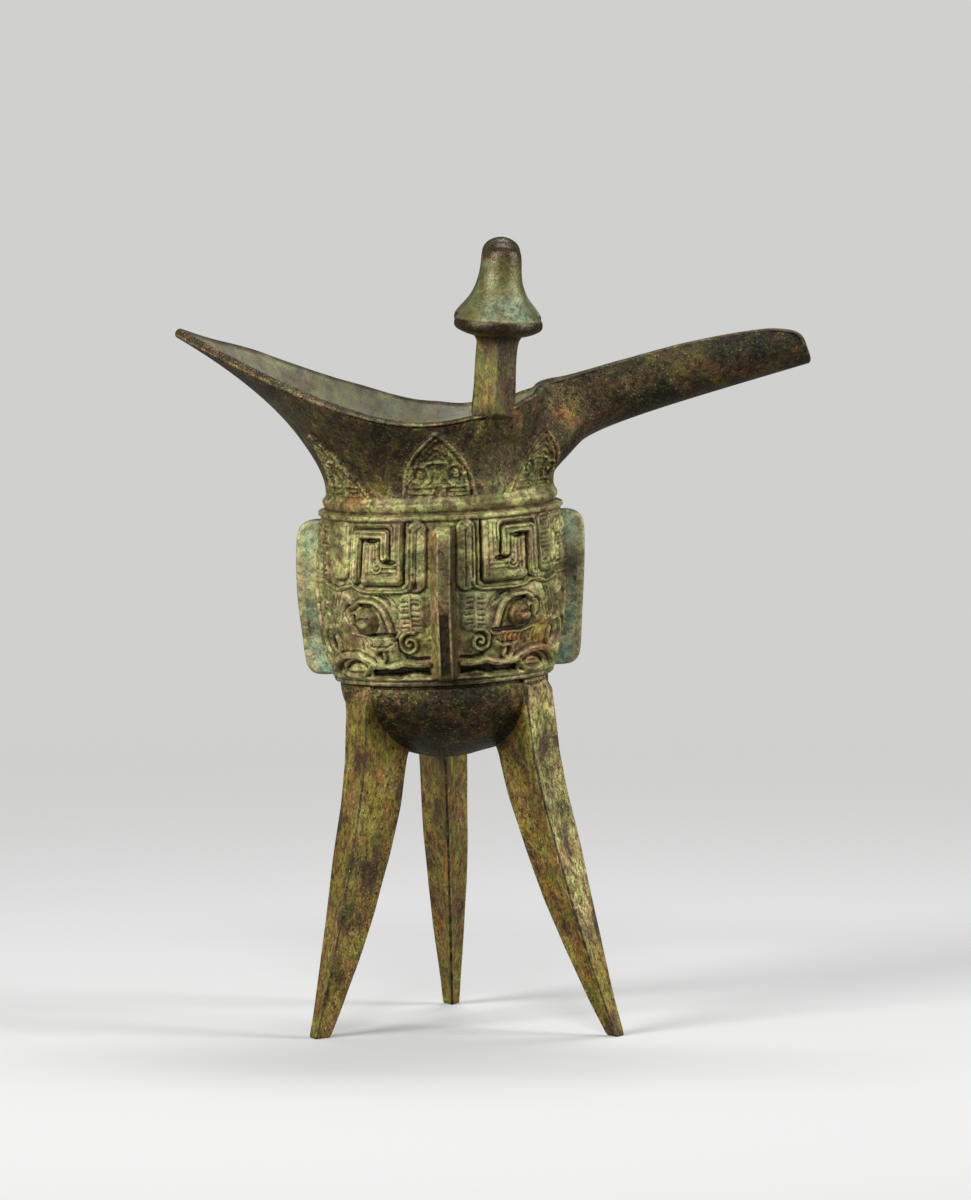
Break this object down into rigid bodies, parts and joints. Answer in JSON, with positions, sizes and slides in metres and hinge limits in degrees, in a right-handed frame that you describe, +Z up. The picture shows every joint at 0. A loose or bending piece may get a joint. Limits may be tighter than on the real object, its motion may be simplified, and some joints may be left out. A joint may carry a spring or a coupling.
{
  "type": "libation cup",
  "caption": "Bronze ritual wine cup of the jue type: round bowl on blade legs, channel spout, pointed tail, capped posts, flanges and a strap handle with an animal head",
  "frame": {"origin": "middle of the bounding box, on the ground under the three feet", "axes": "+Z up, +X towards the spout, +Y towards the handle at the back, so the decorated front with the middle flange looks to -Y"},
  "size_m": [0.1656, 0.096, 0.2067],
  "materials": {
    "bronze": "cast bronze with an olive and ochre patina, satin, worn bright on the edges",
    "dark_bronze": "cast bronze with a dark brown patina, satin",
    "pale_bronze": "cast bronze with a pale blue-green patina, dull",
    "fired_clay": "fired loess clay core, matt and crumbly"
  },
  "bodies": {
    "root": {"cup": "bronze", "leg_front_tail": "bronze", "leg_front_spout": "bronze", "leg_rear": "bronze", "core_leg_front_tail": "fired_clay", "core_leg_front_spout": "fired_clay", "core_leg_rear": "fired_clay", "flange_tail": "pale_bronze", "flange_front": "pale_bronze", "flange_spout": "pale_bronze", "post_near": "bronze", "post_far": "bronze", "post_cap_near": "dark_bronze", "post_cap_far": "dark_bronze", "core_cap_near": "fired_clay", "core_cap_far": "fired_clay", "handle": "bronze", "handle_beast_head": "dark_bronze", "core_handle": "fired_clay", "chaplet_1": "dark_bronze", "chaplet_2": "dark_bronze", "chaplet_3": "dark_bronze", "chaplet_4": "dark_bronze"}
  },
  "joints": []
}
